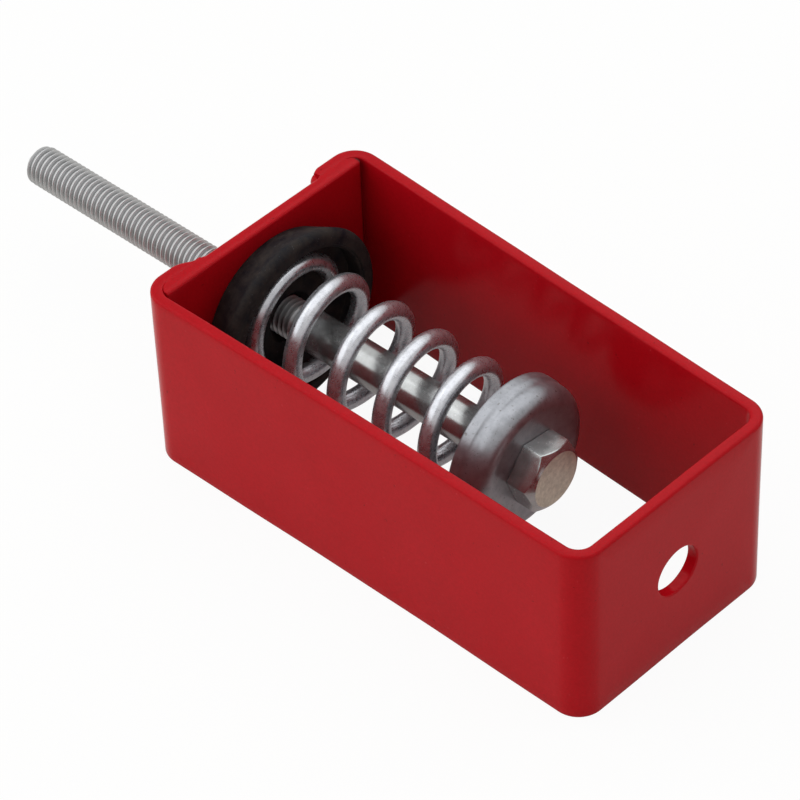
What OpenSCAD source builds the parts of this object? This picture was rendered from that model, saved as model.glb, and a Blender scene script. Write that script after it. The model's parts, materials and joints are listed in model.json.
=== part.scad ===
// Spring vibration isolator of the hanger kind: a bent strip frame, a rubber seat,
// a coil spring, a pressed cup and a long hexagon bolt that carries the hung load.
// Millimetres. X runs along the frame towards its plain end, Z across the strip.
// The origin is the centre of the hanger hole, on the frame's outer face.

/* [Frame] */
// Length between the outer faces of the two ends
frame_l = 157; // [145:1:190]
// Outer width at the rod end
rod_end_w = 83; // [80:0.5:96]
// Outer width at the plain end
plain_end_w = 74.5; // [70:0.5:96]
// Width of the steel strip
strip_w = 60; // [58:1:80]
// Thickness of the steel strip
strip_t = 3.5; // [3:0.1:4.5]
// Outer radius of the strip's bends
bend_r = 8; // [6.5:0.5:12]
// Rounding of the strip's rolled edges
edge_r = 0.8; // [0.3:0.1:1.2]
// Radius of the hanger hole in the plain end
hanger_hole_r = 7.5; // [5:0.25:10]
// Length of the tab folded in from the near arm
near_tab_l = 20.5; // [15:0.5:24]
// Length of the tab folded in from the far arm
far_tab_l = 17; // [15:0.5:24]
// Thickness of the end plate welded inside the tabs
plate_t = 4; // [3:0.5:5]
// Radius of the weld bead at the end of each tab
weld_r = 2.8; // [1.5:0.1:3]

/* [Rubber seat] */
// Radius of the seat where it lies on the end plate
seat_base_r = 25; // [24:0.5:27]
// Radius of the seat's lip
seat_lip_r = 29; // [28:0.5:29.5]
// Height of the seat over the end plate
seat_h = 11.3; // [9.5:0.1:14]
// Rubber left under the spring
seat_floor_t = 6.3; // [4.5:0.1:8]
// Rounding of the lip
lip_round = 2.2; // [1:0.1:3]
// Radius of the neck that lines the plate's hole
neck_r = 11; // [9:0.5:13]
// How far the neck stands out behind the end plate
neck_out = 2; // [1:0.5:3]
// Sideways offset of the seat from the strip frame's middle plane
seat_shift = 0.5; // [-1:0.1:1]

/* [Spring] */
// Free length between the ground ends
spring_l = 85.2; // [70:0.1:90]
// Diameter of the spring wire
wire_d = 5.4; // [4:0.1:5.6]
// Mean radius of the coil
coil_r = 17; // [16:0.1:17.3]
// Number of turns, the flat end stretches included
turns = 5.8; // [5:0.1:6.5]

/* [Cup] */
// Outer radius of the cup
cup_r = 22.4; // [22:0.1:24]
// Height of the cup
cup_h = 11; // [9:0.5:14]
// Thickness of the cup's wall
cup_wall_t = 2.1; // [1.5:0.1:2.2]
// Thickness of the cup's floor, under the bolt head
cup_floor_t = 4; // [3:0.1:5]
// Outer radius of the cup's shoulder
shoulder_r = 5; // [3:0.5:6]
// Height of the collar round the cup's rim
collar_h = 4; // [2:0.5:5]
// How far the collar stands out from the cup's wall
collar_out = 0.6; // [0.2:0.1:0.8]

/* [Bolt] */
// Length of the bolt under its head
bolt_l = 190; // [170:0.5:215]
// Diameter of the plain shank
shank_d = 12; // [10:0.5:13]
// Outer diameter of the thread
thread_d = 11.9; // [9.9:0.1:12]
// Length of the thread
thread_l = 107; // [60:0.5:130]
// Pitch of the thread
thread_pitch = 1.75; // [1.25:0.05:2.5]
// Width of the hexagon across its flats
head_af = 19; // [16:0.5:22]
// Height of the head
head_h = 7.5; // [6:0.1:9]
// Turn of the head about the bolt
head_turn = 21; // [0:1:60]
// Lean of the bolt and spring towards the far arm, in degrees
bolt_lean = 1.64; // [-2:0.02:2]

/* [Hidden] */
$fn = 64;

// Clearances between the pieces, and the overrun of a cut
neck_clear = 0.1;
bore_clear = 0.3;
cup_clear = 0.08;
recess_clear = 3.9;
cut = 1;

// Ends of the frame along X, and the faces of the end plate
rod_x = -frame_l;
plate_x = rod_x + strip_t;
seat_x = plate_x + plate_t;

// The arms draw together towards the plain end
splay = atan((rod_end_w - plain_end_w) / (2 * frame_l));
inner_bend_r = bend_r - strip_t;
edge_steps = 4;
bend_steps = 10;

// Stations along the bolt, counted from the end plate's inner face
cup_floor_z = seat_floor_t + spring_l;
head_z = cup_floor_z + cup_floor_t;
tip_z = head_z - bolt_l;
cup_rim_z = head_z - cup_h;

// Spring: at each end a stretch of the wire lies flatter and is ground to a plane
wire_r = wire_d / 2;
flat_turns = 0.45;
flat_pitch = 1.04 * wire_d;
open_pitch = (spring_l - 2 * flat_turns * flat_pitch) / (turns - 2 * flat_turns);
coil_outer_r = coil_r + wire_r;
start_angle = 120;
wire_sides = 12;
rings_per_turn = 24;

// Bolt: the thread's groove and its fading end, and the chamfers of the tip and of the head
thread_r = thread_d / 2;
thread_end_z = tip_z + thread_l;
thread_depth_share = 0.6;
crest_share = 0.14;
thread_depth = thread_depth_share * thread_pitch;
runout_l = 1.5 * thread_pitch;
thread_sides = 16;
tip_chamfer = 1.2;
tip_core_clear = 0.08;
thread_start_z = tip_z + thread_pitch / 4;
head_round_share = 0.94;
head_chamfer_angle = 32;

// Outer face of the near arm at a station along X
function near_y(x) = -plain_end_w / 2 + x * tan(splay);

// Centre of the near arm's bend whose face is at x_face, on the side given by dir
function bend_centre(x_face, dir) =
    let (x = x_face + dir * bend_r)
    [x, near_y(x) + bend_r / cos(splay)];

rod_bend = bend_centre(rod_x, 1);
plain_bend = bend_centre(0, -1);

// Section of the strip as [depth from the outer face, height], round at its four corners
function strip_ring() =
    let (
        deep = strip_t - edge_r,
        high = strip_w / 2 - edge_r,
        corners = [[edge_r, high, 180], [deep, high, 90], [deep, -high, 0], [edge_r, -high, -90]]
    )
    [for (c = corners) for (k = [0:edge_steps])
        let (turn = c[2] - 90 * k / edge_steps)
        [c.x + edge_r * cos(turn), c.y + edge_r * sin(turn)]];

// Stations through a bend: a point on the outer face and the way into the strip
function bend_stations(centre, from_angle, to_angle) =
    [for (k = [0:bend_steps])
        let (a = from_angle + (to_angle - from_angle) * k / bend_steps, out = [cos(a), sin(a)])
        [centre + bend_r * out, -out]];

// Stations along the near half of the strip, from the tab's end to the plain end
function arm_stations(tab_l) = concat(
    [[[rod_x, tab_l - rod_end_w / 2], [1, 0]]],
    bend_stations(rod_bend, 180, 270 + splay),
    bend_stations(plain_bend, 270 + splay, 360)
);

// The same stations mirrored to the far side and taken backwards
function far_side(stations) =
    [for (i = [len(stations) - 1:-1:0])
        [for (v = stations[i]) [v.x, -v.y]]];

// End face of a skin, fanned from one point of its ring
function end_fan(first, apex, sides) =
    [for (k = [1:sides - 2])
        [first + apex, first + (apex + k) % sides, first + (apex + k + 1) % sides]];

// A closed skin over rings of equal length, each end fanned from its own apex
function skin_faces(rings, sides, first_apex = 0, last_apex = 0) = concat(
    [for (i = [0:rings - 2]) for (j = [0:sides - 1])
        let (a = i * sides + j, b = i * sides + (j + 1) % sides)
        each [[a, b, b + sides], [a, b + sides, a + sides]]],
    [for (f = end_fan(0, first_apex, sides)) [f[0], f[2], f[1]]],
    end_fan((rings - 1) * sides, last_apex, sides)
);

// The strip frame: plain end with the hanger hole, two arms and their tabs
module strap() {
    ring = strip_ring();
    stations = concat(arm_stations(near_tab_l), far_side(arm_stations(far_tab_l)));
    points = [for (s = stations) for (p = ring)
        let (at = s[0] + p.x * s[1])
        [at.x, at.y, p.y]];
    color("firebrick") difference() {
        polyhedron(points, skin_faces(len(stations), len(ring)));
        translate([-strip_t - cut, 0, 0]) rotate([0, 90, 0])
            cylinder(r = hanger_hole_r, h = strip_t + 2 * cut);
    }
}

// Section of the end plate: square behind, where the tabs lie, and round at its inner edges
module plate_section() {
    translate([0, -strip_w / 2]) square([plate_t - edge_r, strip_w]);
    translate([plate_t - edge_r, edge_r - strip_w / 2]) square([edge_r, strip_w - 2 * edge_r]);
    for (side = [-1, 1])
        translate([plate_t - edge_r, side * (strip_w / 2 - edge_r)]) circle(edge_r);
}

// Outline of the room inside the strip, with its rod-end corners cut off straight
module room_outline() {
    room_y = plain_bend.y - inner_bend_r * cos(splay);
    corner = rod_bend + inner_bend_r * [sin(splay), -cos(splay)];
    polygon([
        [plate_x, rod_bend.y], corner, [plain_bend.x, room_y],
        [plain_bend.x, -room_y], [corner.x, -corner.y], [plate_x, -rod_bend.y]
    ]);
}

// The plate that closes the rod end, cut to lie against the tabs between the arms
module end_plate() {
    color("firebrick") difference() {
        intersection() {
            translate([0, 0, -strip_w / 2]) linear_extrude(strip_w) room_outline();
            translate([plate_x, rod_end_w / 2, 0]) rotate([90, 0, 0])
                linear_extrude(rod_end_w) plate_section();
        }
        translate([plate_x - cut, seat_shift, 0]) rotate([0, 90, 0])
            cylinder(r = neck_r + neck_clear, h = plate_t + 2 * cut);
    }
}

// Weld bead in the corner between a tab's end and the end plate
module weld(tab_l) {
    tab_end_y = tab_l - rod_end_w / 2;
    translate([plate_x, tab_end_y, edge_r - strip_w / 2])
        linear_extrude(strip_w - 2 * edge_r)
            intersection() {
                circle(weld_r);
                translate([-weld_r, 0]) square(weld_r);
            }
}

module near_weld() {
    color("firebrick") weld(near_tab_l);
}

module far_weld() {
    color("firebrick") mirror([0, 1, 0]) weld(far_tab_l);
}

// Puts children on the leaning bolt line, their z along it from the plate's inner face
module on_bolt_line() {
    translate([seat_x, seat_shift, 0]) rotate([0, 0, bolt_lean]) rotate([0, 90, 0]) children();
}

// Moulded rubber seat: a lipped disc on the plate with a neck through its hole
module rubber_seat() {
    back_z = -plate_t - neck_out;
    color("dimgray") difference() {
        translate([seat_x, seat_shift, 0]) rotate([0, 90, 0]) rotate_extrude() {
            translate([0, back_z]) square([neck_r, seat_h - back_z]);
            polygon([
                [0, 0], [seat_base_r, 0], [seat_lip_r, seat_h - lip_round],
                [seat_lip_r - lip_round, seat_h], [0, seat_h]
            ]);
            translate([seat_lip_r - lip_round, seat_h - lip_round]) circle(lip_round);
        }
        on_bolt_line() {
            translate([0, 0, back_z - cut])
                cylinder(d = shank_d + 2 * bore_clear, h = seat_h - back_z + 2 * cut);
            translate([0, 0, seat_floor_t])
                cylinder(r = coil_outer_r + recess_clear, h = seat_h);
        }
    }
}

// Height of the wire's middle line after a number of turns
function coil_z(turn) =
    flat_pitch * (min(turn, flat_turns) + max(turn - turns + flat_turns, 0))
    + open_pitch * min(max(turn - flat_turns, 0), turns - 2 * flat_turns);

// A point on the wire's skin, held between the two ground end faces
function wire_point(turn, around) =
    let (
        angle = start_angle + 360 * turn,
        r = coil_r + wire_r * cos(around),
        z = coil_z(turn) + wire_r * sin(around)
    )
    [r * cos(angle), r * sin(angle), min(max(z, 0), spring_l)];

// Right-hand coil spring with flat, ground ends
module spring() {
    rings = round(turns * rings_per_turn);
    points = [for (i = [0:rings]) for (j = [0:wire_sides - 1])
        wire_point(turns * i / rings, 360 * j / wire_sides)];
    color("silver") on_bolt_line() translate([0, 0, seat_floor_t])
        polyhedron(points, skin_faces(rings + 1, wire_sides, wire_sides / 4, wire_sides * 3 / 4));
}

// Cup that holds the spring's free end and takes the bolt head
module cup_washer() {
    wall_r = cup_r - collar_out;
    color("gray") on_bolt_line() translate([0, 0, cup_rim_z]) rotate_extrude()
        difference() {
            union() {
                square([cup_r, collar_h]);
                square([wall_r, cup_h - shoulder_r]);
                square([wall_r - shoulder_r, cup_h]);
                translate([wall_r - shoulder_r, cup_h - shoulder_r]) circle(shoulder_r);
            }
            translate([0, -shoulder_r]) square([cup_r, shoulder_r]);
            square([cup_r - cup_wall_t, cup_h - cup_floor_t]);
            square([shank_d / 2 + cup_clear, cup_h + cut]);
        }
}

// Rows of the thread in one pitch, as [share of the pitch, share of the depth]:
// the groove's bottom and the two edges of the crest
thread_rows = [[0, 1], [(1 - crest_share) / 2, 0], [(1 + crest_share) / 2, 0]];

// Point of a row at one of the thread's sides. The row climbs one pitch in a turn, the tip's
// chamfer cuts the crests, and the groove fades out at the thread's end.
function thread_point(row, side) =
    let (
        per = len(thread_rows),
        form = thread_rows[row % per],
        z = thread_start_z + thread_pitch * (floor(row / per) + form[0] + side / thread_sides),
        fade = min(max((thread_end_z - z) / runout_l, 0), 1),
        r = min(thread_r - form[1] * thread_depth * fade, thread_r - tip_chamfer + z - tip_z),
        angle = 360 * side / thread_sides
    )
    [r * cos(angle), r * sin(angle), z];

// Right-hand thread as one skin. Its last side meets its first one pitch further up, and each
// end is a ramp with a step, fanned from a point on the axis.
module thread() {
    per = len(thread_rows);
    pitches = ceil((thread_end_z - thread_start_z) / thread_pitch);
    last = per * pitches;
    side_count = thread_sides;
    points = concat(
        [for (row = [0:last]) for (side = [0:side_count - 1]) thread_point(row, side)],
        [for (turn = [0.5, pitches + 0.5]) [0, 0, thread_start_z + turn * thread_pitch]]
    );
    quads = concat(
        [for (row = [0:last - 1]) for (side = [0:side_count - 2])
            let (a = row * side_count + side) [a, a + 1, a + 1 + side_count, a + side_count]],
        [for (row = [0:last - per - 1])
            let (a = (row + 1) * side_count - 1, b = (row + per) * side_count)
            [a, b, b + side_count, a + side_count]]
    );
    low_loop = concat([for (side = [0:side_count - 1]) side],
        [for (row = [per:-1:1]) row * side_count]);
    high_loop = concat([for (side = [0:side_count - 1]) last * side_count + side],
        [for (row = [last:-1:last - per + 1]) row * side_count - 1]);
    low_pole = (last + 1) * side_count;
    loop_l = len(low_loop);
    polyhedron(points, concat(
        [for (q = quads) each [[q[0], q[2], q[1]], [q[0], q[3], q[2]]]],
        [for (i = [0:loop_l - 1]) [low_pole, low_loop[i], low_loop[(i + 1) % loop_l]]],
        [for (i = [0:loop_l - 1]) [low_pole + 1, high_loop[(i + 1) % loop_l], high_loop[i]]]
    ));
}

// Hexagon bolt: the head, the plain shank and the long threaded rod
module bolt() {
    head_r = head_af / 2 / cos(30);
    round_r = head_af / 2 * head_round_share;
    drop = (head_r - round_r) * tan(head_chamfer_angle);
    core_r = thread_r - thread_depth + tip_core_clear;
    core_l = thread_start_z - tip_z + 1.5 * thread_pitch;
    color("lightgray") on_bolt_line() {
        translate([0, 0, head_z]) intersection() {
            rotate([0, 0, head_turn]) cylinder(r = head_r, h = head_h, $fn = 6);
            rotate_extrude() polygon([
                [0, 0], [head_r, 0], [head_r, head_h - drop], [round_r, head_h], [0, head_h]
            ]);
        }
        translate([0, 0, thread_end_z]) cylinder(d = shank_d, h = bolt_l - thread_l);
        thread();
        translate([0, 0, tip_z]) rotate_extrude() polygon([
            [0, 0], [thread_r - tip_chamfer, 0], [core_r, core_r - thread_r + tip_chamfer],
            [core_r, core_l], [0, core_l]
        ]);
    }
}

strap();
end_plate();
near_weld();
far_weld();
rubber_seat();
spring();
cup_washer();
bolt();
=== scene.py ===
import json
import math

import bmesh
import bpy
import numpy as np
from mathutils import Matrix, Vector


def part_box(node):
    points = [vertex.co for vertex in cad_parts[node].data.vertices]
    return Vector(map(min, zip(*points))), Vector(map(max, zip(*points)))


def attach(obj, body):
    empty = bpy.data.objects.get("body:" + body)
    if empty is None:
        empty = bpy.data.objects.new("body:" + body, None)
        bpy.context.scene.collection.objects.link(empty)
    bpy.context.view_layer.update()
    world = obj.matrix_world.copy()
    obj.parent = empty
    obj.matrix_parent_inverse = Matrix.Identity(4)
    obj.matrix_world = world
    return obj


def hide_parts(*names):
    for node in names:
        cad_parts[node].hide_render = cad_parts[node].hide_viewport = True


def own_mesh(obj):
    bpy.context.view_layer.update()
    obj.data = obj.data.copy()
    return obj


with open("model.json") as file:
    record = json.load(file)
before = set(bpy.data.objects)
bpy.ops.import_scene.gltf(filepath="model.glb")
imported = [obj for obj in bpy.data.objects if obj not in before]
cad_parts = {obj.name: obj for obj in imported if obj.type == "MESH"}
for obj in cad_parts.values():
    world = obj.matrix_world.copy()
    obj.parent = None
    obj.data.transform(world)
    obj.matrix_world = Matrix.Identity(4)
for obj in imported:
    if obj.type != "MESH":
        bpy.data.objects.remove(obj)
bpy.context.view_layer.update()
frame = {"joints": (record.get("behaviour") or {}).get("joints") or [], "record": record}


# The strip frame: one flat steel bar, bent cold into a narrow box whose two ends are folded
# in as tabs. The hanger hole is punched in its plain end. The bar's rolled edges are round,
# and the finished frame is powder coated red.

MM = 0.001
strap_low, strap_high = (np.array(corner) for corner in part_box("strap"))
rod_x = strap_low[0]
half_w = strap_high[2]
strip_t = 3.5 * MM
bend_r = 8 * MM
edge_r = 0.9 * MM
rod_end_w = 83 * MM
plain_end_w = 74.5 * MM
near_tab_l = 20.5 * MM
far_tab_l = 17 * MM
tab_steps = 24
near_tab_end = {"flat_l": 2 * MM, "slope_l": 5.5 * MM, "drop": 2.6 * MM}
far_tab_end = {"flat_l": 0 * MM, "slope_l": 2.4 * MM, "drop": 0.9 * MM}
roll_power = 1.6
thin_share = 0.6
filled_r = 0.12 * MM
near_arm_bow = 0.5 * MM
wave = 0.0375 * MM
slow_wave_l = 17 * MM
quick_wave_l = 7.3 * MM
cross_wave_l = 11 * MM
wave_start = 1.3
hole_edge = 0.45 * MM
hanger_hole = next(m for m in frame["record"]["mounts"] if m["name"] == "hanger_hole")
hanger_hole_r = hanger_hole["dims"]["r_mm"] * MM
splay = math.atan((rod_end_w - plain_end_w) / (-2 * rod_x))
face_steps = 30
bend_steps = 14
arm_steps = 56
plain_steps = 24
round_steps = 5
hole_steps = 4
hole_spread_steps = 8
merge_gap = 0.002 * MM
coat_deep = (0.435, 0.0035, 0.0085, 1)
coat_bright = (0.465, 0.0042, 0.0100, 1)
coat_grain = (0.27, 0.002, 0.004, 1)
coat_nib = (0.50, 0.035, 0.045, 1)
coat_pinhole = (0.12, 0.002, 0.003, 1)
# Near-black painted shade for the crease along the far arm.
painted_seam_shade = (0.012, 0.001, 0.001, 1)
coat_gloss = 0.07
coat_rough = (0.13, 0.22)
coat_patch_l = 14 * MM
coat_grain_l = 0.9 * MM
grain_share = 0.4
nib_l = 1.3 * MM
nib_share = 0.5
pinhole_l = 1.7 * MM
pinhole_share = 0.6
peel_l = 2.4 * MM
peel_h = 0.010 * MM
fine_peel_l = 0.5 * MM
fine_peel_h = 0.0015 * MM
# Where each pattern begins and is complete, on the noise's own scale from 0 to 1.
patch_band = (0.3, 0.7)
wide_band = (0.2, 0.8)
grain_band = (0.35, 0.75)
nib_band = (0.77, 0.80)
pinhole_band = (0.27, 0.23)
sharp_angle = math.radians(38)
crisp_angle = math.radians(17)


def straight(start, stop, out, steps):
    """Stations evenly spaced on the line from start to stop, all with the same way out."""
    share = np.linspace(0, 1, steps + 1)[:, None]
    start, stop = np.array(start), np.array(stop)
    return np.hstack([start + share * (stop - start), np.tile(out, (steps + 1, 1))])


def bend(centre, first, last, steps):
    """Stations round a bend: the centre plus its radius along a way out that turns evenly."""
    turn = np.linspace(first, last, steps + 1)
    out = np.stack([np.cos(turn), np.sin(turn)], 1)
    return np.hstack([np.array(centre) + bend_r * out, out])


def arm_stations(tab_l, bow):
    """Outer face of one half of the strip in plan, as x, y and the way out: tab, bend, arm and
    bend. The arm is a straight line that sags inwards by bow times half a sine wave."""
    rod_bend_x, plain_bend_x = rod_x + bend_r, -bend_r
    rise = bend_r / math.cos(splay)
    middle_y = rise - plain_end_w / 2
    rod_bend = (rod_bend_x, middle_y + rod_bend_x * math.tan(splay))
    plain_bend = (plain_bend_x, middle_y + plain_bend_x * math.tan(splay))
    arm_turn = math.pi * 3 / 2 + splay
    first_bend = bend(rod_bend, math.pi, arm_turn, bend_steps)
    last_bend = bend(plain_bend, arm_turn, math.pi * 2, bend_steps)
    tab = straight((rod_x, tab_l - rod_end_w / 2), first_bend[0, :2], (-1, 0), tab_steps)
    arm = straight(first_bend[-1, :2], last_bend[0, :2], first_bend[-1, 2:], arm_steps)
    sag = bow * np.sin(np.linspace(0, math.pi, len(arm)))[:, None]
    arm[:, :2] -= sag * arm[:, 2:]
    return np.vstack([tab[:-1], first_bend[:-1], arm[:-1], last_bend])


def strip_section(thick, outer_r, inner_r):
    """Depth and height round the section at each station: up the outer face, over the top with
    a quarter round at each edge, down the inner face and back underneath."""
    quarter = np.linspace(0, math.pi / 2, round_steps + 1)
    up = np.linspace(-1, 1, face_steps + 1)
    rise, fall = quarter[1:], quarter[:0:-1]
    flat = np.zeros_like(up)
    thick = thick + 0 * outer_r
    depth = [
        0 * outer_r + flat,
        outer_r * (1 - np.cos(rise)),
        thick - inner_r * (1 - np.cos(fall)),
        thick + flat,
        thick - inner_r * (1 - np.cos(rise)),
        outer_r * (1 - np.cos(fall)),
    ]
    height = [
        up * (half_w - outer_r),
        half_w - outer_r * (1 - np.sin(rise)),
        half_w - inner_r * (1 - np.sin(fall)),
        -up * (half_w - inner_r),
        inner_r * (1 - np.sin(rise)) - half_w,
        outer_r * (1 - np.sin(fall)) - half_w,
    ]
    return np.hstack(depth), np.hstack(height)


def swept_strip(stations, thick, outer_r, inner_r):
    """The section carried along the stations: each point lies its depth in from the outer face.
    Both faces share a faint wave, the sum of a slow sine along the strip and a quick one that
    shifts across it."""
    depth, height = strip_section(thick, outer_r, inner_r)
    x, y, out_x, out_y = (stations[:, i : i + 1] for i in range(4))
    step = np.hypot(np.diff(x, axis=0), np.diff(y, axis=0))
    along = np.vstack([[[0]], np.cumsum(step, axis=0)])
    slow = np.sin(along / slow_wave_l + wave_start)
    quick = np.sin(along / quick_wave_l + height / cross_wave_l)
    depth = depth + wave * (2 + slow + quick)
    return np.stack([x - out_x * depth, y - out_y * depth, height], 2)


def sweep_faces(rows, columns):
    """Quads of a grid of rows, each a closed ring of that many columns."""
    number = np.arange(rows * columns).reshape(rows, columns)
    ahead = np.roll(number, -1, 1)
    return np.stack([number[:-1], ahead[:-1], ahead[1:], number[1:]], 2)


def window(first, last, column):
    """Vertex numbers round a rectangle of the sweep, from station first to last and from column
    to column plus face_steps."""
    ring = 2 * (face_steps + 1) + 4 * round_steps
    top = column + face_steps
    along, across = np.arange(first, last), np.arange(column, top)
    corners = [
        along * ring + column,
        last * ring + across,
        np.arange(last, first, -1) * ring + top,
        first * ring + np.arange(top, column, -1),
    ]
    return np.concatenate(corners)


def punched(front, back, front_x, back_x, centre, radius):
    """Rings of a round hole in a flat wall: from the front window in to the hole's rounded edge,
    through the bore, and out over the back to the back window."""
    spread = 1 - np.linspace(1, 0, hole_spread_steps + 1)[1:] ** 2
    quarter = np.linspace(0, math.pi / 2, hole_steps + 1)

    def circle(ring, x, r):
        turn = np.arctan2(ring[:, 2] - centre[1], ring[:, 1] - centre[0])
        return np.stack(
            [np.full_like(turn, x), centre[0] + r * np.cos(turn), centre[1] + r * np.sin(turn)], 1
        )

    wide = radius + hole_edge
    rings = [front + w * (circle(front, front_x, wide) - front) for w in spread]
    rings += [
        circle(front, front_x - hole_edge * (1 - math.cos(q)), wide - hole_edge * math.sin(q))
        for q in quarter[1:]
    ]
    rings += [
        circle(front, back_x + hole_edge * (1 - math.cos(q)), wide - hole_edge * math.sin(q))
        for q in quarter[:0:-1]
    ]
    rings += [back + w * (circle(back, back_x, wide) - back) for w in spread[::-1]]
    return np.stack(rings)


def strip_mesh(points, first, last, hole):
    """Points and faces of a swept strip with its ends capped and a hole through the window from
    station first to last."""
    rows, ring = points.shape[:2]
    faces = sweep_faces(rows, ring)
    inner = face_steps + 2 * round_steps
    keep = np.ones(faces.shape[:2], bool)
    keep[first:last, :face_steps] = False
    keep[first:last, inner + 1 : inner + 1 + face_steps] = False
    flat = points.reshape(-1, 3)
    front, back = window(first, last, 0), window(first, last, inner + 1)
    back = back[match_ring(flat[front], flat[back])]
    rings = punched(flat[front], flat[back], **hole)
    numbers = len(flat) + np.arange(rings.shape[0] * rings.shape[1]).reshape(rings.shape[:2])
    numbers = np.vstack([front, numbers, back])
    ahead = np.roll(numbers, -1, 1)
    collar = np.stack([numbers[:-1], ahead[:-1], ahead[1:], numbers[1:]], 2).reshape(-1, 4)
    caps = [list(range(ring)), list(range((rows - 1) * ring, rows * ring))]
    every = faces[keep].tolist() + collar.tolist() + caps
    return np.vstack([flat, rings.reshape(-1, 3)]), every


def match_ring(front, back):
    """For each point of the front ring, the nearest point of the back ring across the wall."""
    gap = np.linalg.norm(front[:, None, 1:] - back[None, :, 1:], axis=2)
    return gap.argmin(1)


def new_tree(name):
    """The node tree of a new material, with its own surface shader wired to the output."""
    material = bpy.data.materials.new(name)
    material.use_nodes = True
    return material, material.node_tree


def add(tree, kind, inputs=None, **settings):
    """A shader node of that kind, with its settings, and a value or a link for each input."""
    node = tree.nodes.new("ShaderNode" + kind)
    for name, value in settings.items():
        setattr(node, name, value)
    for socket, value in (inputs or {}).items():
        if isinstance(value, bpy.types.NodeSocket):
            tree.links.new(value, node.inputs[socket])
        else:
            node.inputs[socket].default_value = value
    return node


def noise(tree, place, size, detail=2.0, rough=0.5):
    """Noise whose patches are about size metres across, from 0 to 1."""
    inputs = {"Vector": place, "Scale": 1 / size, "Detail": detail, "Roughness": rough}
    return add(tree, "TexNoise", inputs).outputs["Fac"]


def remap(tree, value, low, high, to_low=0.0, to_high=1.0):
    """The value stretched so that low and high become to_low and to_high, and held there."""
    inputs = {"Value": value, "From Min": low, "From Max": high}
    inputs.update({"To Min": to_low, "To Max": to_high})
    return add(tree, "MapRange", inputs).outputs["Result"]


def blend(tree, share, first, second):
    """The first colour turning into the second as share goes from 0 to 1."""
    node = add(tree, "Mix", data_type="RGBA")
    for socket, value in ((0, share), (6, first), (7, second)):
        if isinstance(value, bpy.types.NodeSocket):
            tree.links.new(value, node.inputs[socket])
        else:
            node.inputs[socket].default_value = value
    return node.outputs[2]


def bump(tree, height, depth, under=None):
    """A bump of that height pattern, depth metres deep, over the one under it."""
    inputs = {"Height": height, "Distance": depth, "Strength": 1.0}
    if under is not None:
        inputs["Normal"] = under
    return add(tree, "Bump", inputs).outputs["Normal"]


def powder_coat():
    """Glossy red powder coat: slow patches of two close reds, a fine grain, small nibs and dark
    pinholes, and the orange peel of a baked coat. Along a seam mark it paints a near-black line of
    shade."""
    material, tree = new_tree("red_powder_coat")
    place = add(tree, "TexCoord").outputs["Object"]
    patches = noise(tree, place, coat_patch_l, 4.0, 0.6)
    grain = noise(tree, place, coat_grain_l, 3.0, 0.7)
    nibs = remap(tree, noise(tree, place, nib_l, 1.0), *nib_band, 0.0, nib_share)
    pinholes = remap(tree, noise(tree, place, pinhole_l, 2.0), *pinhole_band, 0.0, pinhole_share)
    colour = blend(tree, remap(tree, patches, *patch_band), coat_deep, coat_bright)
    colour = blend(tree, remap(tree, grain, *grain_band, 0.0, grain_share), colour, coat_grain)
    colour = blend(tree, nibs, colour, coat_nib)
    colour = blend(tree, pinholes, colour, coat_pinhole)
    # The seam mark paints a near-black line of shade into the crease by the far arm.
    seam = add(tree, "Attribute", attribute_name="seam").outputs["Fac"]
    colour = blend(tree, seam, colour, painted_seam_shade)
    peel = bump(tree, noise(tree, place, peel_l), peel_h)
    normal = bump(tree, noise(tree, place, fine_peel_l), fine_peel_h, peel)
    shader = tree.nodes["Principled BSDF"]
    shader.inputs["Specular IOR Level"].default_value = coat_gloss
    tree.links.new(colour, shader.inputs["Base Color"])
    rough = remap(tree, patches, *wide_band, *coat_rough)
    tree.links.new(rough, shader.inputs["Roughness"])
    tree.links.new(normal, shader.inputs["Normal"])
    return material


def make_piece(name, points, faces, material, body, node, slot, marks=None, sharp=sharp_angle):
    """A mesh object in place of a CAD node: near points merged, faces turned outwards, shaded
    smooth between its sharp edges. Marks are named values at its points."""
    mesh = bpy.data.meshes.new(name)
    mesh.from_pydata(np.asarray(points).reshape(-1, 3).tolist(), [], faces)
    for mark, values in (marks or {}).items():
        mesh.attributes.new(mark, "FLOAT", "POINT").data.foreach_set("value", np.ravel(values))
    build = bmesh.new()
    build.from_mesh(mesh)
    bmesh.ops.remove_doubles(build, verts=build.verts, dist=merge_gap)
    bmesh.ops.dissolve_degenerate(build, dist=merge_gap, edges=build.edges)
    bmesh.ops.recalc_face_normals(build, faces=build.faces)
    build.to_mesh(mesh)
    build.free()
    mesh.shade_smooth()
    mesh.set_sharp_from_angle(angle=sharp)
    mesh.materials.append(material)
    piece = bpy.data.objects.new(name, mesh)
    bpy.context.scene.collection.objects.link(piece)
    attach(piece, body)
    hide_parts(node)
    return piece


def end_drop(stations, tab_l, side, flat_l, slope_l, drop):
    """How far the shears and the weld rolled a tab's end down: a curve over slope_l that reaches
    its whole drop flat_l before the end. Side is -1 on the near tab and 1 on the far one."""
    from_end = side * stations[:, 1:2] - (rod_end_w / 2 - tab_l)
    on_tab = (stations[:, :1] < rod_x + filled_r) & (from_end > -filled_r)
    share = np.clip((slope_l + flat_l - from_end) / slope_l, 0, 1)
    return np.where(on_tab, drop * share**roll_power, 0)


near_half = arm_stations(near_tab_l, near_arm_bow)
far_half = arm_stations(far_tab_l, 0)[::-1] * (1, -1, 1, -1)
plain_end = straight(near_half[-1, :2], far_half[0, :2], (1, 0), plain_steps)
strap_stations = np.vstack([near_half, plain_end[1:-1], far_half])
plain_first, plain_last = len(near_half) - 1, len(near_half) + plain_steps - 1
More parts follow.
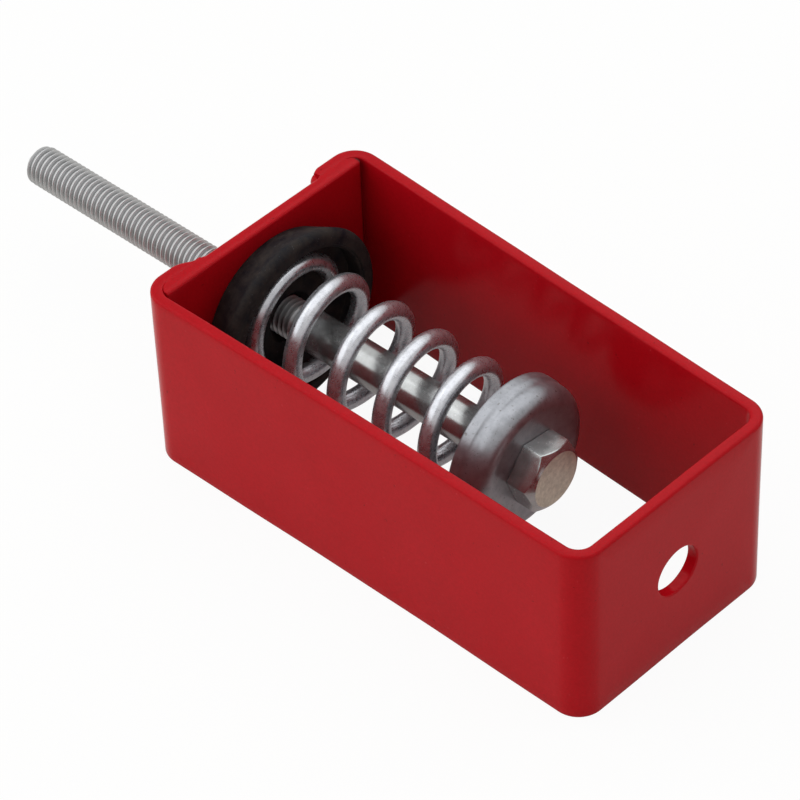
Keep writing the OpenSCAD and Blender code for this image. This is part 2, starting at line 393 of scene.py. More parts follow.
# The tabs' inner edges are filled flush with the end plate, so their rounding closes there.
open_edge = np.clip((strap_stations[:, :1] - rod_x) / bend_r, 0, 1)
strap_inner_r = filled_r + (edge_r - filled_r) * open_edge
rolled_down = end_drop(strap_stations, near_tab_l, -1, **near_tab_end)
rolled_down = rolled_down + end_drop(strap_stations, far_tab_l, 1, **far_tab_end)
strap_stations[:, :2] -= rolled_down * strap_stations[:, 2:]
strap_thick = strip_t - rolled_down
strap_outer_r = np.minimum(edge_r, strap_thick * thin_share)
strap_points = swept_strip(strap_stations, strap_thick, strap_outer_r, strap_inner_r)
strap_points, strap_faces = strip_mesh(
    strap_points,
    plain_first,
    plain_last,
    {"front_x": 0.0, "back_x": -strip_t, "centre": (0, 0), "radius": hanger_hole_r},
)
red = powder_coat()
make_piece("bent_strip", strap_points, strap_faces, red, "frame_body", "strap", "red_paint")


# The end plate: a flat of 4 mm steel laid inside the two tabs and welded to them, with a round
# hole for the rubber seat's neck. Its ends stop a hair short of the arms, and paint has
# rounded its inner edges.

plate_low, plate_high = (np.array(corner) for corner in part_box("end_plate"))
plate_t = plate_high[0] - plate_low[0]
plate_edge_r = 0.9 * MM
plate_end_gap = 0.1 * MM
far_end_gap = 0.5 * MM
plate_end_r = 0.35 * MM
seat_shift = 0.5 * MM
neck_hole_r = 11.1 * MM
plate_end_y = plate_high[1] - plate_end_gap
slope_w = 3.9 * MM
near_seam = 0.45 * MM
far_seam = 0.1 * MM
plate_tip_t = 0.35 * MM
seam_w = 0.35 * MM
hole_window = 22 * MM
window_steps = 22
flank_steps = 9
plate_round_steps = 6
front_share = 0.6
back_share = 0.3

plate_round = plate_end_y - plate_end_r
plate_quarter = np.linspace(0, math.pi / 2, plate_round_steps + 1)
plate_half = np.concatenate(
    [
        np.linspace(0, hole_window, window_steps + 1),
        np.linspace(hole_window, plate_high[1] - slope_w, flank_steps + 1)[1:],
        np.linspace(plate_high[1] - slope_w, plate_round, plate_round_steps + 1)[1:],
        plate_round + plate_end_r * np.sin(plate_quarter)[1:],
    ]
)
plate_y = np.concatenate([-plate_half[:0:-1], plate_half])
past_round = np.clip((np.abs(plate_y) - plate_round) / plate_end_r, 0, 1)
shifted = np.clip(plate_y / plate_end_y, 0, 1) ** 4 * far_end_gap
front_drop = plate_end_r * (1 - np.sqrt(1 - past_round**2))
# Behind, each end follows the inside of the strip's bend, with a seam that opens on the way.
inner_r = bend_r - strip_t
bend_y = rod_end_w / 2 - bend_r * (1 + math.sin(splay))
past_bend = np.clip((np.abs(plate_y) - bend_y) / inner_r, 0, 1)
seam = np.where(plate_y < 0, near_seam, far_seam) * past_bend**2
bend_back = rod_x + bend_r - np.sqrt(inner_r**2 * (1 - past_bend**2)) + seam
plate_front = plate_high[0] - front_drop
plate_back = np.minimum(np.maximum(bend_back, plate_low[0]), plate_front - plate_tip_t)
plate_thick = (plate_front - plate_back)[:, None]
between_tabs = (plate_y > near_tab_l - rod_end_w / 2) & (plate_y < rod_end_w / 2 - far_tab_l)
plate_back_r = np.where(between_tabs, plate_edge_r, filled_r)[:, None]
plate_front_r = np.minimum(plate_edge_r, plate_thick * front_share)
plate_back_r = np.minimum(plate_back_r, plate_thick * back_share)
plate_depth, plate_height = strip_section(plate_thick, plate_front_r, plate_back_r)
plate_points = np.stack(
    [
        plate_front[:, None] - plate_depth,
        (plate_y - shifted)[:, None] + 0 * plate_depth,
        plate_height,
    ],
    2,
)
hole_stations = np.flatnonzero(np.abs(plate_y) < hole_window + merge_gap)
plate_points, plate_faces = strip_mesh(
    plate_points,
    int(hole_stations[0]),
    int(hole_stations[-1]),
    {
        "front_x": plate_high[0],
        "back_x": plate_low[0],
        "centre": (seat_shift, 0),
        "radius": neck_hole_r,
    },
)
# A near-black line of painted shade along the seam with the far arm, where the crease is in shadow.
seam_shade_mark = np.clip((plate_points[:, 1] - plate_points[:, 1].max()) / seam_w + 1.5, 0, 1)
make_piece(
    "welded_end_plate",
    plate_points,
    plate_faces,
    red,
    "frame_body",
    "end_plate",
    "red_paint",
    {"seam": seam_shade_mark},
)


# The two weld beads: each lies in the corner between a tab's end and the end plate, laid by
# hand from bottom to top under the paint, so it is lumpy and its ends are domed.

bead_r = 2.8 * MM
bead_root = 0.3 * MM
bead_steps = 120
bead_sides = 16
bead_mean = 0.86
bead_end = 0.85
# Each wave along a bead: its share of the radius, and its length over two pi.
bead_waves = ((0.05, 0.55 * MM), (0.06, 2.1 * MM), (0.07, 6.3 * MM))
near_stand, far_stand = 0.4, 1.1


def weld_bead(side, tab_l, stand, seed):
    """A quarter round in plan carried up the corner, which stands out from the plate by its share
    of the radius. The radius is a sum of sines with seeded phases, for the ripples of the run,
    and it falls away at both ends as a quarter circle."""
    phases = np.random.default_rng(seed).uniform(0, 2 * math.pi, 3)
    reach = half_w - edge_r
    z = np.linspace(-reach, reach, bead_steps + 1)
    ripple = sum(s * np.sin(z / length + p) for (s, length), p in zip(bead_waves, phases))
    from_end = np.clip((reach - np.abs(z)) / bead_r, 0, 1)
    dome = bead_end + (1 - bead_end) * np.sqrt(1 - (1 - from_end) ** 2)
    radius = bead_r * (bead_mean + ripple) * dome
    turn = np.linspace(-math.pi / 2, 0, bead_sides + 1)[None, :]
    out = radius[:, None] * np.cos(turn) * stand
    aside = -radius[:, None] * np.sin(turn)
    end_y = tab_l - rod_end_w / 2
    x = plate_low[0] - np.hstack([out, 0 * out[:, :1] - bead_root])
    y = end_y + np.hstack([aside, 0 * aside[:, :1] - bead_root])
    points = np.stack([x, -side * y, z[:, None] + 0 * x], 2)
    rows, ring = points.shape[:2]
    caps = [list(range(ring)), list(range((rows - 1) * ring, rows * ring))]
    return points, sweep_faces(rows, ring).reshape(-1, 4).tolist() + caps


near_bead = weld_bead(-1, near_tab_l, near_stand, seed=3)
far_bead = weld_bead(1, far_tab_l, far_stand, seed=8)
make_piece("near_weld_bead", *near_bead, red, "frame_body", "near_weld", "red_paint")
make_piece("far_weld_bead", *far_bead, red, "frame_body", "far_weld", "red_paint")


# The rubber seat: a moulded black disc that lies on the end plate, with a neck through the
# plate's hole. The spring stands in its recess, and the bolt runs through its bore.

turn_joint = next(j for j in frame["joints"] if j["name"] == "bolt_turn")
bolt_way = np.array(turn_joint["axis"])
bolt_way = bolt_way / np.linalg.norm(bolt_way)
joint_at = np.array(turn_joint["pos_m"])
bolt_foot = joint_at + bolt_way * (plate_high[0] - joint_at[0]) / bolt_way[0]
across = np.array([0.0, 0.0, -1.0])
aside = np.cross(bolt_way, across)

seat_low, seat_high = (np.array(corner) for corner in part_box("rubber_seat"))
seat_h = seat_high[0] - plate_high[0]
neck_back = seat_low[0] - plate_high[0]
seat_base_r = 25 * MM
seat_lip_r = seat_high[2]
neck_r = 11 * MM
seat_floor = 6.3 * MM
lip_round = 2.2 * MM
recess_r = 23.6 * MM
seat_bore_r = 6.3 * MM
bore_flare = 1.6 * MM
seat_edge_r = 0.5 * MM
recess_edge_r = 0.6 * MM
seat_sides = 144
rubber_dark = (0.0035, 0.0035, 0.006, 1)
rubber_dusty = (0.040, 0.031, 0.026, 1)
rubber_speck = (0.06, 0.06, 0.065, 1)
rubber_gloss = 0.14
rubber_rough = (0.6, 0.8)
bloom_l = 5 * MM
speck_l = 0.6 * MM
speck_band = (0.72, 0.78)
skin_l = 1.6 * MM
skin_h = 0.03 * MM


def on_bolt_line(radius, turn, station):
    """Points at a radius and a turn about the bolt line, at a station along it."""
    radius, turn, station = np.broadcast_arrays(radius, turn, station)
    spoke = np.cos(turn)[..., None] * across + np.sin(turn)[..., None] * aside
    return bolt_foot + station[..., None] * bolt_way + radius[..., None] * spoke


def arc(radius, station, r, first, last, steps):
    """Profile points round a centre at that radius and station, from one angle to another."""
    turn = np.radians(np.linspace(first, last, steps + 1))
    return np.stack([radius + r * np.cos(turn), station + r * np.sin(turn)], 1)


def line(start, stop, steps):
    """Profile points evenly from start to stop."""
    share = np.linspace(0, 1, steps + 1)[:, None]
    return np.array(start) + share * (np.array(stop) - np.array(start))


def revolved(profile, sides, lean_share=1.0):
    """A closed profile of radius and station, turned about the bolt line. Where lean_share is
    0, the ring stands on the seat's own straight axis instead."""
    turn = np.linspace(0, 2 * math.pi, sides, endpoint=False)
    leaning = on_bolt_line(profile[:, :1], turn, profile[:, 1:])
    upright = np.stack(
        [
            plate_high[0] + profile[:, 1:] + 0 * turn,
            seat_shift + profile[:, :1] * np.sin(turn),
            -profile[:, :1] * np.cos(turn),
        ],
        2,
    )
    share = np.reshape(lean_share, (-1, 1, 1))
    return share * leaning + (1 - share) * upright


def loop_faces(rows, columns):
    """Quads of a grid that closes on itself both ways."""
    number = np.arange(rows * columns).reshape(rows, columns)
    ahead, up = np.roll(number, -1, 1), np.roll(number, -1, 0)
    corner = np.roll(ahead, -1, 0)
    return np.stack([number, ahead, corner, up], 2).reshape(-1, 4).tolist()


def black_rubber():
    """Matt black rubber: a dusty bloom in slow patches, fine pale specks and a moulded skin."""
    material, tree = new_tree("moulded_black_rubber")
    place = add(tree, "TexCoord").outputs["Object"]
    bloom = noise(tree, place, bloom_l, 6.0, 0.7)
    specks = remap(tree, noise(tree, place, speck_l, 1.0), *speck_band)
    colour = blend(tree, remap(tree, bloom, *grain_band), rubber_dark, rubber_dusty)
    colour = blend(tree, specks, colour, rubber_speck)
    shader = tree.nodes["Principled BSDF"]
    shader.inputs["Specular IOR Level"].default_value = rubber_gloss
    tree.links.new(colour, shader.inputs["Base Color"])
    rough = remap(tree, bloom, *patch_band, *rubber_rough)
    tree.links.new(rough, shader.inputs["Roughness"])
    skin = bump(tree, noise(tree, place, skin_l, 3.0), skin_h)
    tree.links.new(skin, shader.inputs["Normal"])
    return material


outer_skin = np.vstack(
    [
        arc(neck_r - seat_edge_r, neck_back + seat_edge_r, seat_edge_r, -90, 0, 4),
        line((neck_r, neck_back + 4 * seat_edge_r), (neck_r, -0.2 * seat_edge_r), 3),
        line((neck_r + 2 * seat_edge_r, 0), (seat_base_r - 1.2 * seat_edge_r, 0), 6),
        arc(seat_base_r - seat_edge_r, seat_edge_r, seat_edge_r, -60, 0, 3),
        line(
            (seat_base_r + 0.5 * seat_edge_r, 2 * seat_edge_r),
            (seat_lip_r, seat_h - lip_round),
            10,
        )[:-1],
        arc(seat_lip_r - lip_round, seat_h - lip_round, lip_round, 0, 90, 12),
        line((seat_lip_r - lip_round, seat_h), (recess_r + recess_edge_r, seat_h), 4)[1:-1],
    ]
)
recess_skin = np.vstack(
    [
        arc(recess_r + recess_edge_r, seat_h - recess_edge_r, recess_edge_r, 90, 180, 5),
        line((recess_r, seat_h - 2 * recess_edge_r), (recess_r, seat_floor + recess_edge_r), 3),
        arc(recess_r - seat_edge_r, seat_floor + seat_edge_r, seat_edge_r, 0, -90, 4),
        line((recess_r - 4 * seat_edge_r, seat_floor), (seat_bore_r + bore_flare, seat_floor), 6),
        line((seat_bore_r, seat_floor - bore_flare), (seat_bore_r, neck_back), 8),
    ]
)
seat_profile = np.vstack([outer_skin, recess_skin])
seat_lean = np.concatenate([np.zeros(len(outer_skin)), np.ones(len(recess_skin))])
seat_points = revolved(seat_profile, seat_sides, seat_lean)
# The bore's last ring closes flat on the neck's back, which stands square to the plate.
seat_points[..., 0] = np.maximum(seat_points[..., 0], seat_low[0])
make_piece(
    "moulded_seat",
    seat_points,
    loop_faces(*seat_points.shape[:2]),
    black_rubber(),
    "frame_body",
    "rubber_seat",
    "black_rubber",
)


# The spring: hard-drawn wire coiled right-handed, its end turns closed on the next ones and
# ground flat, then zinc plated. It stands in the rubber recess and holds up the cup.

wire_r = 2.7 * MM
coil_r = 17 * MM
turns = 5.8
flat_turns = 0.45
spring_l = 85.2 * MM
flat_pitch = 2.08 * wire_r
open_pitch = (spring_l - 2 * flat_turns * flat_pitch) / (turns - 2 * flat_turns)
start_turn = math.radians(120)
ease_turns = 0.2
coil_tilt = 1.0 * MM
tilt_fade_power = 3
coil_sag = 1.6 * MM
sag_power = 1.8
lead_in = 0.08
rings_per_turn = 96
wire_sides = 36
zinc_metal = 0.82
zinc_gloss = 0.3
zinc_dirt = (0.11, 0.10, 0.095, 1)
zinc_rough_band = (0.25, 0.75)
wide_pit_l = 1.3 * MM
wide_pit_band = (0.36, 0.28)
fine_pit_l = 0.5 * MM
fine_pit_band = (0.34, 0.28)
pit_h = -0.02 * MM
zinc_grain_l = 0.35 * MM
zinc_grain_h = 0.0008 * MM
line_h = 0.0015 * MM
line_stretch = 0.08


def coil_height(turn):
    """Height of the wire's middle line: a flat pitch at both ends and the open one between, with
    the slope eased in and out over a part of a turn."""

    def ramp(t):
        eased = np.clip(t + ease_turns, 0, 2 * ease_turns) ** 2 / (4 * ease_turns)
        return eased + np.maximum(t - ease_turns, 0)

    opened = ramp(turn - flat_turns) - ramp(turn - turns + flat_turns)
    return flat_pitch * turn + (open_pitch - flat_pitch) * opened


def coil_spring():
    """The wire's round section carried along the helix, and pressed flat at the two end planes.
    Between them each turn stands a little askew, by a sine of its angle, and the coil sags by a
    sine of its height. Also gives each point's way along the wire and round its girth."""
    turn = np.linspace(-lead_in, turns, int(turns * rings_per_turn) + 1)[:, None]
    around = np.linspace(0, 2 * math.pi, wire_sides, endpoint=False)
    radius = coil_r + wire_r * np.cos(around) + 0 * turn
    angle = start_turn + 2 * math.pi * turn
    share = np.clip(turn / turns, 0, 1)
    free = np.clip(np.minimum(turn, turns - turn) - flat_turns, 0, 1)
    free = free * (1 - share**tilt_fade_power)
    height = coil_height(turn) + coil_tilt * free * np.sin(angle) + wire_r * np.sin(around)
    station = seat_floor + np.clip(height, 0, spring_l)
    points = on_bolt_line(radius, angle, station)
    points = points + (coil_sag * np.sin(math.pi * share**sag_power))[..., None] * across
    rows, ring = points.shape[:2]
    caps = [list(range(ring)), list(range((rows - 1) * ring, rows * ring))]
    faces = sweep_faces(rows, ring).reshape(-1, 4).tolist() + caps
    along = 2 * math.pi * coil_r * turn + 0 * around
    return points, faces, along, wire_r * np.abs(around - math.pi) + 0 * turn


def zinc_plate(name, dark, light, roughness, patch, pits=0.0, lines=None, tint_and_shade=None):
    """Zinc plated steel: patches of two close greys, small dark pits of two sizes and a fine
    grain. Lines is a pattern of drawn or turned marks, and a last function changes the colour and
    the roughness by the piece's own marks, such as dirt and painted shade in a thread's roots."""
    material, tree = new_tree(name)
    place = add(tree, "TexCoord").outputs["Object"]
    cloud = noise(tree, place, patch, 5.0, 0.65)
    grain = noise(tree, place, zinc_grain_l, 3.0, 0.7)
    wide = remap(tree, noise(tree, place, wide_pit_l, 3.0, 0.6), *wide_pit_band, 0.0, pits)
    fine = remap(tree, noise(tree, place, fine_pit_l, 2.0, 0.6), *fine_pit_band, 0.0, pits)
    spots = add(tree, "Math", {0: wide, 1: fine}, operation="MAXIMUM").outputs[0]
    colour = blend(tree, remap(tree, cloud, *patch_band), dark, light)
    colour = blend(tree, spots, colour, zinc_dirt)
    rough = remap(tree, cloud, *zinc_rough_band, *roughness)
    if tint_and_shade:
        colour, rough = tint_and_shade(tree, place, colour, rough)
    shader = tree.nodes["Principled BSDF"]
    shader.inputs["Metallic"].default_value = zinc_metal
    shader.inputs["Specular IOR Level"].default_value = zinc_gloss
    tree.links.new(colour, shader.inputs["Base Color"])
    tree.links.new(rough, shader.inputs["Roughness"])
    normal = bump(tree, grain, zinc_grain_h)
    if lines:
        normal = bump(tree, lines(tree), line_h, normal)
    if pits:
        normal = bump(tree, spots, pit_h, normal)
    tree.links.new(normal, shader.inputs["Normal"])
    return material


def drawn_lines(tree):
    """Streaks along the wire: noise over the wire's own length and girth, long one way."""
    along = add(tree, "Attribute", attribute_name="along").outputs["Fac"]
    girth = add(tree, "Attribute", attribute_name="girth").outputs["Fac"]
    slow = remap(tree, along, 0, 1, 0, line_stretch)
    place = add(tree, "CombineXYZ", {"X": slow, "Y": girth}).outputs["Vector"]
    return noise(tree, place, zinc_grain_l, 3.0, 0.6)


spring_points, spring_faces, spring_along, spring_girth = coil_spring()
spring_zinc = zinc_plate(
    "bright_zinc_wire",
    dark=(0.40, 0.405, 0.43, 1),
    light=(0.57, 0.575, 0.60, 1),
    roughness=(0.22, 0.34),
    patch=2 * MM,
    pits=0.15,
    lines=drawn_lines,
)
spring_piece = make_piece(
    "coil_spring",
    spring_points,
    spring_faces,
    spring_zinc,
    "frame_body",
    "spring",
    "spring_zinc",
    {"along": spring_along, "girth": spring_girth},
)
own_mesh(spring_piece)


# The cup: pressed from thick sheet, its rim round the spring's free end and its floor under the
# bolt head. The press left a shallow step round its wall, and barrel plating left it satin.

cup_foot = seat_floor + spring_l
cup_floor_t = 4 * MM
cup_h = 11 * MM
cup_top = cup_foot + cup_floor_t
cup_rim = cup_top - cup_h
cup_r = 22.4 * MM
cup_wall_t = 2.1 * MM
rim_r = 0.8 * MM
inner_rim_r = 0.5 * MM
shoulder_r = 5 * MM
collar_h = 4 * MM
collar_out = 0.35 * MM
collar_round = 0.6 * MM
shoulder_gap = 0.2 * MM
hollow = 0.22 * MM
hollow_steps = 8
cup_bore_r = 6.08 * MM
bore_edge = 0.3 * MM
bore_land = 0.4 * MM
land = 1 * MM
cup_sides = 160


def cup_profile():
    """Closed profile of the cup: rim, collar, the hollow over it, shoulder, top, bore, inside."""
    wall_r = cup_r - collar_out
    wall_top = cup_top - shoulder_r
    collar_top = cup_rim + collar_h
    inside_r = cup_r - cup_wall_t
    dip = hollow * np.sin(np.linspace(0, math.pi, hollow_steps + 1))
    neck_top = wall_top - shoulder_gap
    neck = line((cup_r, collar_top - collar_round), (wall_r, neck_top), hollow_steps)
    neck[:, 0] -= dip
    return np.vstack(
        [
            arc(cup_r - rim_r, cup_rim + rim_r, rim_r, -90, 0, 6),
            line((cup_r, cup_rim + 1.5 * rim_r), (cup_r, collar_top - 1.5 * collar_round), 3),
            neck,
            arc(wall_r - shoulder_r, wall_top, shoulder_r, 3, 90, 28),
            line((wall_r - shoulder_r - land, cup_top), (cup_bore_r + bore_land, cup_top), 5),
            arc(cup_bore_r + bore_edge, cup_top - bore_edge, bore_edge, 90, 180, 3),
            arc(cup_bore_r + bore_edge, cup_foot + bore_edge, bore_edge, 180, 270, 3),
            line((cup_bore_r + land, cup_foot), (inside_r - land, cup_foot), 5),
            arc(inside_r - rim_r, cup_foot - rim_r, rim_r, 90, 0, 5),
            line((inside_r, cup_foot - 1.5 * rim_r), (inside_r, cup_rim + rim_r), 4),
            arc(inside_r + inner_rim_r, cup_rim + inner_rim_r, inner_rim_r, 180, 260, 4),
        ]
    )


cup_points = revolved(cup_profile(), cup_sides)
cup_zinc = zinc_plate(
    "satin_zinc_cup",
    dark=(0.22, 0.225, 0.24, 1),
    light=(0.31, 0.315, 0.335, 1),
    roughness=(0.30, 0.40),
    patch=3 * MM,
    pits=0.8,
)
make_piece(
    "pressed_cup",
    cup_points,
    loop_faces(*cup_points.shape[:2]),
    cup_zinc,
    "cup_body",
    "cup_washer",
    "cup_zinc",
)


# The bolt: a forged hexagon head, a smooth shank inside the spring, and a long rolled thread
# that leaves the frame through the rubber seat and carries the load. It is zinc plated.

bolt_l = 189.3 * MM
head_foot = cup_top
head_h = 8.1 * MM
head_flat = 9.5 * MM
corner_round = 0.25 * MM
head_round = 8.4 * MM
head_slope = math.tan(math.radians(36))
head_soft = 0.18 * MM
face_ring_share = 0.6
head_turn = math.radians(21)
flat_columns = 9
corner_columns = 5
shank_r = 6 * MM
thread_r = 5.95 * MM
thread_l = 106.3 * MM
thread_pitch = 1.75 * MM
thread_depth = 1.05 * MM
tip_chamfer = 1.5 * MM
tip_l = 1.6 * tip_chamfer
tip_station = head_foot - bolt_l
thread_end = tip_station + thread_l
runout = 2.5 * MM
shank_gap = 0.3 * MM
# One thread form from crest to crest, as shares of the pitch and of the depth.
crest_to_crest = ((0, 0), (0.07, 0.03), (0.36, 0.95), (0.5, 1.0), (0.64, 0.95), (0.93, 0.03))
thread_pale = (0.52, 0.52, 0.53, 1)
# Dirt and painted shade for the thread's roots.
root_dirt_and_shade = (0.26, 0.255, 0.25, 1)
face_dark = (0.46, 0.43, 0.34, 1)
face_light = (0.68, 0.64, 0.52, 1)
face_mottle_l = 1.6 * MM
face_band = (0.35, 0.65)
worn_rough = 0.14
turned_l = 0.3 * MM
turned_scale = (1, 0.04, 0.04)


def hexagon():
    """Turns and radii round a hexagon with rounded corners: close together at each corner, and
    even along each flat."""
    reach = (head_flat - corner_round) / math.cos(math.pi / 6)
    tangent = math.atan2(corner_round / 2, reach + corner_round * math.cos(math.pi / 6))
    at_corner = np.linspace(-tangent, tangent, corner_columns)
    corner_radius = reach * np.cos(at_corner) + np.sqrt(
        corner_round**2 - (reach * np.sin(at_corner)) ** 2
    )
    on_flat = np.linspace(tangent, math.pi / 3 - tangent, flat_columns + 2)[1:-1]
    flat_radius = head_flat / np.cos(on_flat - math.pi / 6)
    turn = np.concatenate([at_corner, on_flat])
    sixths = np.arange(6)[:, None] * math.pi / 3
    return (turn + sixths).ravel(), np.tile(np.concatenate([corner_radius, flat_radius]), 6)


def rolled_thread(turn):
    """Rows of the thread that follow its helix: each lies at its share of a pitch plus the turn,
    sunk by its share of the depth. The tip's chamfer cuts it, and it fades out at its end."""
    pitches = int(thread_l / thread_pitch) + 3
    share = np.array(crest_to_crest)
    phase = (np.arange(pitches)[:, None] + share[:, 0]).ravel()[:, None]
    sunk = np.tile(share[:, 1], pitches)[:, None]
    station = tip_station + thread_pitch * (phase - 1 + turn / (2 * math.pi))
    station = np.clip(station, tip_station, thread_end)
    fade = np.clip((thread_end - station) / runout, 0, 1)
    radius = thread_r - thread_depth * sunk * fade * fade * (3 - 2 * fade)
    into = np.clip((station - tip_station) / tip_l, 0, 1)
    tip = thread_r - tip_chamfer * (1 - np.sqrt(1 - (1 - into) ** 2))
    return np.minimum(radius, tip), station, sunk * fade


def hexagon_bolt():
    """Thread, shank and head as one skin over shared columns, with a fan at each end. The last
    column meets the first one pitch further up, as the thread's own helix does."""
    turn, hex_radius = hexagon()
    radius, station, sunk = rolled_thread(turn)
    per_pitch = len(crest_to_crest)
    columns, rows = len(turn), len(radius)
    number = np.arange(rows * columns).reshape(rows, columns)
    thread_faces = np.stack([number[:-1, :-1], number[:-1, 1:], number[1:, 1:], number[1:, :-1]], 2)
    low, high = number[: rows - per_pitch, -1], number[per_pitch:, 0]
    wrap_faces = np.stack([low[:-1], high[:-1], high[1:], low[1:]], 1)
    cone = head_h - (hex_radius - head_round) * head_slope
    one = np.ones(columns)
    soft = head_soft
    head_top = head_foot + head_h
    rings = [
        (shank_r * one, thread_end + shank_gap),
        (shank_r * one, (thread_end + head_foot) / 2),
        (shank_r * one, head_foot),
        (hex_radius - soft, head_foot),
        (hex_radius, head_foot + soft),
        (hex_radius, head_foot + cone - soft),
        (hex_radius - soft, head_foot + cone + soft * head_slope),
        (head_round * one + soft / 2, head_top - soft / 2 * head_slope),
        (head_round * one - soft / 2, head_top),
        (head_round * one * face_ring_share, head_top),
    ]
    radius = np.vstack([radius, *(r for r, _ in rings)])
    station = np.vstack([station, *(s + 0 * one for _, s in rings)])
    points = on_bolt_line(radius, turn + head_turn, station)
    body = sweep_faces(len(rings) + 1, columns).reshape(-1, 4) + (rows - 1) * columns
    poles = on_bolt_line(0, 0, np.array([tip_station, head_top]))
    first = np.arange(columns)
    last = (len(radius) - 1) * columns + np.arange(columns)
    tip, top = len(radius) * columns, len(radius) * columns + 1
    fans = [
        np.stack([ring, np.roll(ring, -1), np.full(columns, pole)], 1)
        for ring, pole in ((first, tip), (last, top))
    ]
    faces = thread_faces.reshape(-1, 4).tolist() + wrap_faces.tolist() + body.tolist()
    faces = faces + fans[0].tolist() + fans[1].tolist()
    sunk = np.concatenate([sunk.ravel(), np.zeros(len(rings) * columns + 2)])
    row_station = np.concatenate([station.ravel(), [tip_station, head_top]])
    marks = {
        "sunk": sunk,
        "threaded": np.clip((thread_end - row_station) / runout, 0, 1),
        "faced": (row_station > head_top - merge_gap).astype(float),
    }
    return np.vstack([points.reshape(-1, 3), poles]), faces, marks


def thread_tint_and_shade(tree, place, colour, rough):
    """The thread is paler and rougher than the shank, with dirt and painted shade darkening its
    roots, and the head's face has the mottled, yellowish tint of a passivated blank."""
    threaded = add(tree, "Attribute", attribute_name="threaded").outputs["Fac"]
    sunk = add(tree, "Attribute", attribute_name="sunk").outputs["Fac"]
    faced = add(tree, "Attribute", attribute_name="faced").outputs["Fac"]
    colour = blend(tree, remap(tree, threaded, 0, 1, 0, 0.5), colour, thread_pale)
    # Dirt and painted shade darken the thread's roots by their depth.
    colour = blend(tree, remap(tree, sunk, 0.2, 1, 0, 0.7), colour, root_dirt_and_shade)
    mottle = remap(tree, noise(tree, place, face_mottle_l, 5.0, 0.7), *face_band)
    face = blend(tree, mottle, face_dark, face_light)
    colour = blend(tree, remap(tree, faced, 0, 1, 0, 0.9), colour, face)
    worn = add(tree, "Math", {0: threaded, 1: faced}, operation="MAXIMUM").outputs[0]
    extra = remap(tree, worn, 0, 1, 0, worn_rough)
    return colour, add(tree, "Math", {0: rough, 1: extra}, operation="ADD").outputs[0]


def turned_lines(tree):
    """Fine marks round the shank: noise over the place along the bolt, very short that way."""
    place = add(tree, "TexCoord").outputs["Object"]
    mapped = add(tree, "Mapping", {"Vector": place, "Scale": turned_scale}).outputs["Vector"]
    return noise(tree, mapped, turned_l, 3.0, 0.6)


bolt_zinc = zinc_plate(
    "bright_zinc_bolt",
    dark=(0.33, 0.335, 0.33, 1),
    light=(0.44, 0.445, 0.44, 1),
    roughness=(0.18, 0.30),
    patch=3 * MM,
    lines=turned_lines,
    tint_and_shade=thread_tint_and_shade,
)
bolt_points, bolt_faces, bolt_marks = hexagon_bolt()
make_piece(
    "hexagon_bolt",
    bolt_points,
    bolt_faces,
    bolt_zinc,
    "bolt_body",
    "bolt",
    "bolt_zinc",
    bolt_marks,
    crisp_angle,
)


# The studio: a pale floor under the frame's lower edge, one large soft light from the left, one
# overhead, and the camera at the photograph's place. The background is white to the camera and
# in reflections.

camera_focus = Vector((-0.09759, -0.00269, -0.00007))
camera_azimuth = math.radians(45.834)
camera_elevation = math.radians(43.854)
camera_roll = math.radians(-2.4008)
camera_distance = 1.12267
camera_lens = 187.07
sensor_w = 36
floor_gap = 0.05 * MM
floor_reach = 4.0
floor_colour = (0.86, 0.84, 0.79, 1)
floor_white_share = 0.94
floor_mirrored_share = 0.3
world_level = 0.45
lamp_aim = (-0.08, 0, 0)
lamp_colour = (0.95, 0.98, 1.0)


def place_camera():
    """The camera looks at its focus from its azimuth and elevation, rolled about its own line."""
    back = Vector(
        (
            math.sin(camera_azimuth) * math.cos(camera_elevation),
            -math.cos(camera_azimuth) * math.cos(camera_elevation),
            math.sin(camera_elevation),
        )
    )
    level = Vector((math.cos(camera_azimuth), math.sin(camera_azimuth), 0))
    rise = back.cross(level)
    right = math.cos(camera_roll) * level + math.sin(camera_roll) * rise
    up = back.cross(right)
    turned = Matrix((right, up, back)).transposed().to_4x4()
    data = bpy.data.cameras.new("photo_camera")
    data.lens, data.sensor_width = camera_lens, sensor_w
    camera = bpy.data.objects.new("photo_camera", data)
    camera.matrix_world = Matrix.Translation(camera_focus + camera_distance * back) @ turned
    bpy.context.scene.collection.objects.link(camera)
    bpy.context.scene.camera = camera


def soft_light(name, place, size, power):
    """A square area lamp at a place, turned to the aim point."""
    data = bpy.data.lights.new(name, "AREA")
    data.size, data.energy, data.color = size, power, lamp_colour
    lamp = bpy.data.objects.new(name, data)
    lamp.location = place
    lamp.rotation_euler = (Vector(lamp_aim) - Vector(place)).to_track_quat("-Z", "Y").to_euler()
    bpy.context.scene.collection.objects.link(lamp)


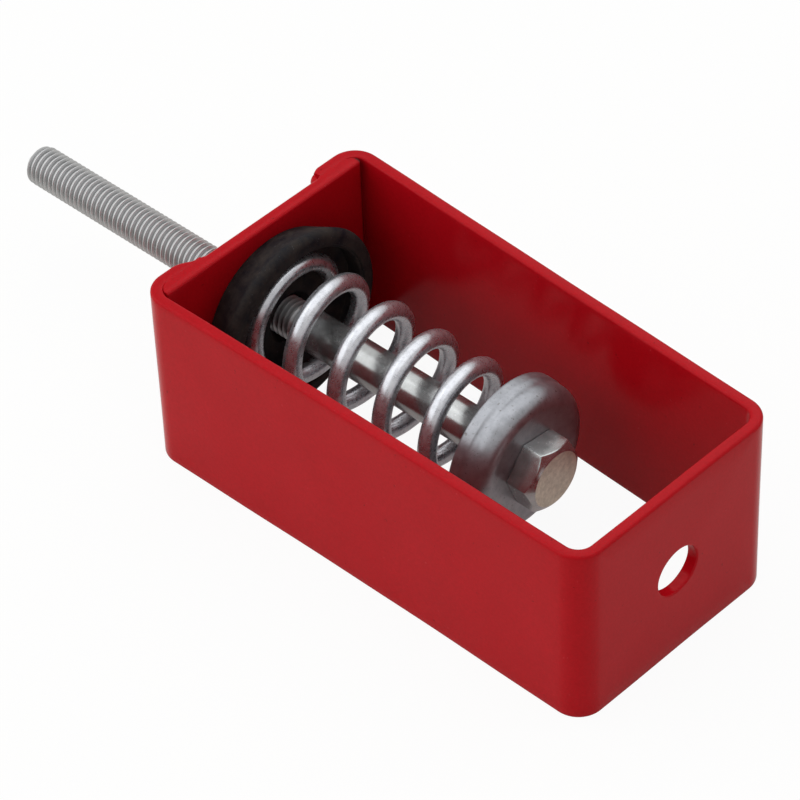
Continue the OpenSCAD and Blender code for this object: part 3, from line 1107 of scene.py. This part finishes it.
def seen_directly(tree, kinds):
    """1 on the rays of those kinds, such as camera rays, and 0 on all others."""
    path = add(tree, "LightPath")
    seen = path.outputs[kinds[0]]
    for kind in kinds[1:]:
        seen = add(tree, "Math", {0: seen, 1: path.outputs[kind]}, operation="MAXIMUM").outputs[0]
    return seen


def white_world(level):
    """Plain grey light from all round, and white where the camera or a reflection sees it."""
    world = bpy.data.worlds.new("studio_world")
    bpy.context.scene.world = world
    world.use_nodes = True
    tree = world.node_tree
    seen = seen_directly(tree, ("Is Camera Ray", "Is Glossy Ray", "Is Transmission Ray"))
    strength = remap(tree, seen, 0, 1, level, 1.0)
    tree.nodes["Background"].inputs["Color"].default_value = (1, 1, 1, 1)
    tree.links.new(strength, tree.nodes["Background"].inputs["Strength"])


def pale_floor(reach):
    """A wide sheet just under the frame: matt white that takes the object's shadow, mixed with
    plain white for what sees it directly."""
    mesh = bpy.data.meshes.new("floor")
    z = strap_low[2] - floor_gap
    corners = [(-reach, -reach, z), (reach, -reach, z), (reach, reach, z), (-reach, reach, z)]
    mesh.from_pydata(corners, [], [(0, 1, 2, 3)])
    material, tree = new_tree("pale_floor")
    matt = add(tree, "BsdfDiffuse", {"Color": floor_colour})
    white = add(tree, "Emission", {"Color": (1, 1, 1, 1), "Strength": 1.0})
    camera = seen_directly(tree, ("Is Camera Ray",))
    camera = remap(tree, camera, 0, 1, 0, floor_white_share)
    mirrored = seen_directly(tree, ("Is Glossy Ray", "Is Transmission Ray"))
    mirrored = remap(tree, mirrored, 0, 1, 0, floor_mirrored_share)
    share = add(tree, "Math", {0: camera, 1: mirrored}, operation="MAXIMUM")
    mix = add(tree, "MixShader", {0: share.outputs[0], 1: matt.outputs[0], 2: white.outputs[0]})
    tree.links.new(mix.outputs[0], tree.nodes["Material Output"].inputs["Surface"])
    mesh.materials.append(material)
    floor = bpy.data.objects.new("floor", mesh)
    bpy.context.scene.collection.objects.link(floor)


place_camera()
pale_floor(floor_reach)
white_world(world_level)
soft_light("left_softbox", place=(-0.75, -0.75, 0.75), size=1.7, power=10.0)
soft_light("top_softbox", place=(-0.1, 0.35, 1.1), size=1.5, power=7.5)
bpy.context.scene.view_settings.view_transform = "Standard"
